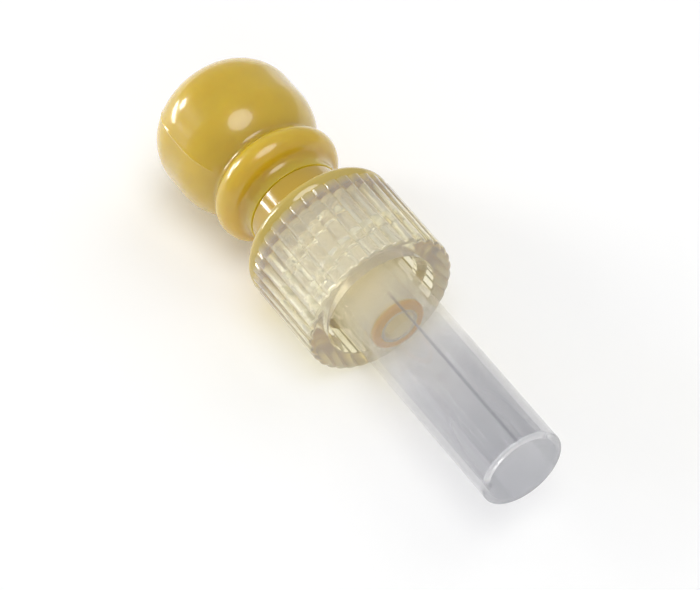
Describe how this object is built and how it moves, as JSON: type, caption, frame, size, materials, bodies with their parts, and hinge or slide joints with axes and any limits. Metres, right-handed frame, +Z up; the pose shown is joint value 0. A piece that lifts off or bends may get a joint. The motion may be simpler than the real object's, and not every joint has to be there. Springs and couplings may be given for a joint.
{
  "type": "infusion plug",
  "caption": "Infusion plug: a latex injection bulb on a ribbed luer lock body with an inner lock thread and luer cone, covered by a clear pull-off sheath.",
  "frame": {"origin": "on the floor under the middle of the plug's overall length, with the plug lying on its side", "axes": "+X along the plug's long axis, from the latex head to the open mouth of the sheath; +Z up; the long axis is level, 5.55 mm above the floor"},
  "size_m": [0.0386, 0.0112, 0.0111],
  "materials": {
    "clear_plastic": "polished injection moulding, clear with a faint yellow cast",
    "amber_latex": "smooth moulded latex, translucent amber with a wet gloss",
    "sheath_plastic": "extruded tube, hazy and translucent"
  },
  "bodies": {
    "plug": {"luer_lock_body": "clear_plastic", "injection_bulb": "amber_latex"},
    "sheath": {"protective_sheath": "sheath_plastic"}
  },
  "joints": [
    {"name": "sheath_pull", "type": "slide", "parent": "plug", "child": "sheath", "axis": [1, 0, 0], "range_m": [0, 0.0085]}
  ]
}
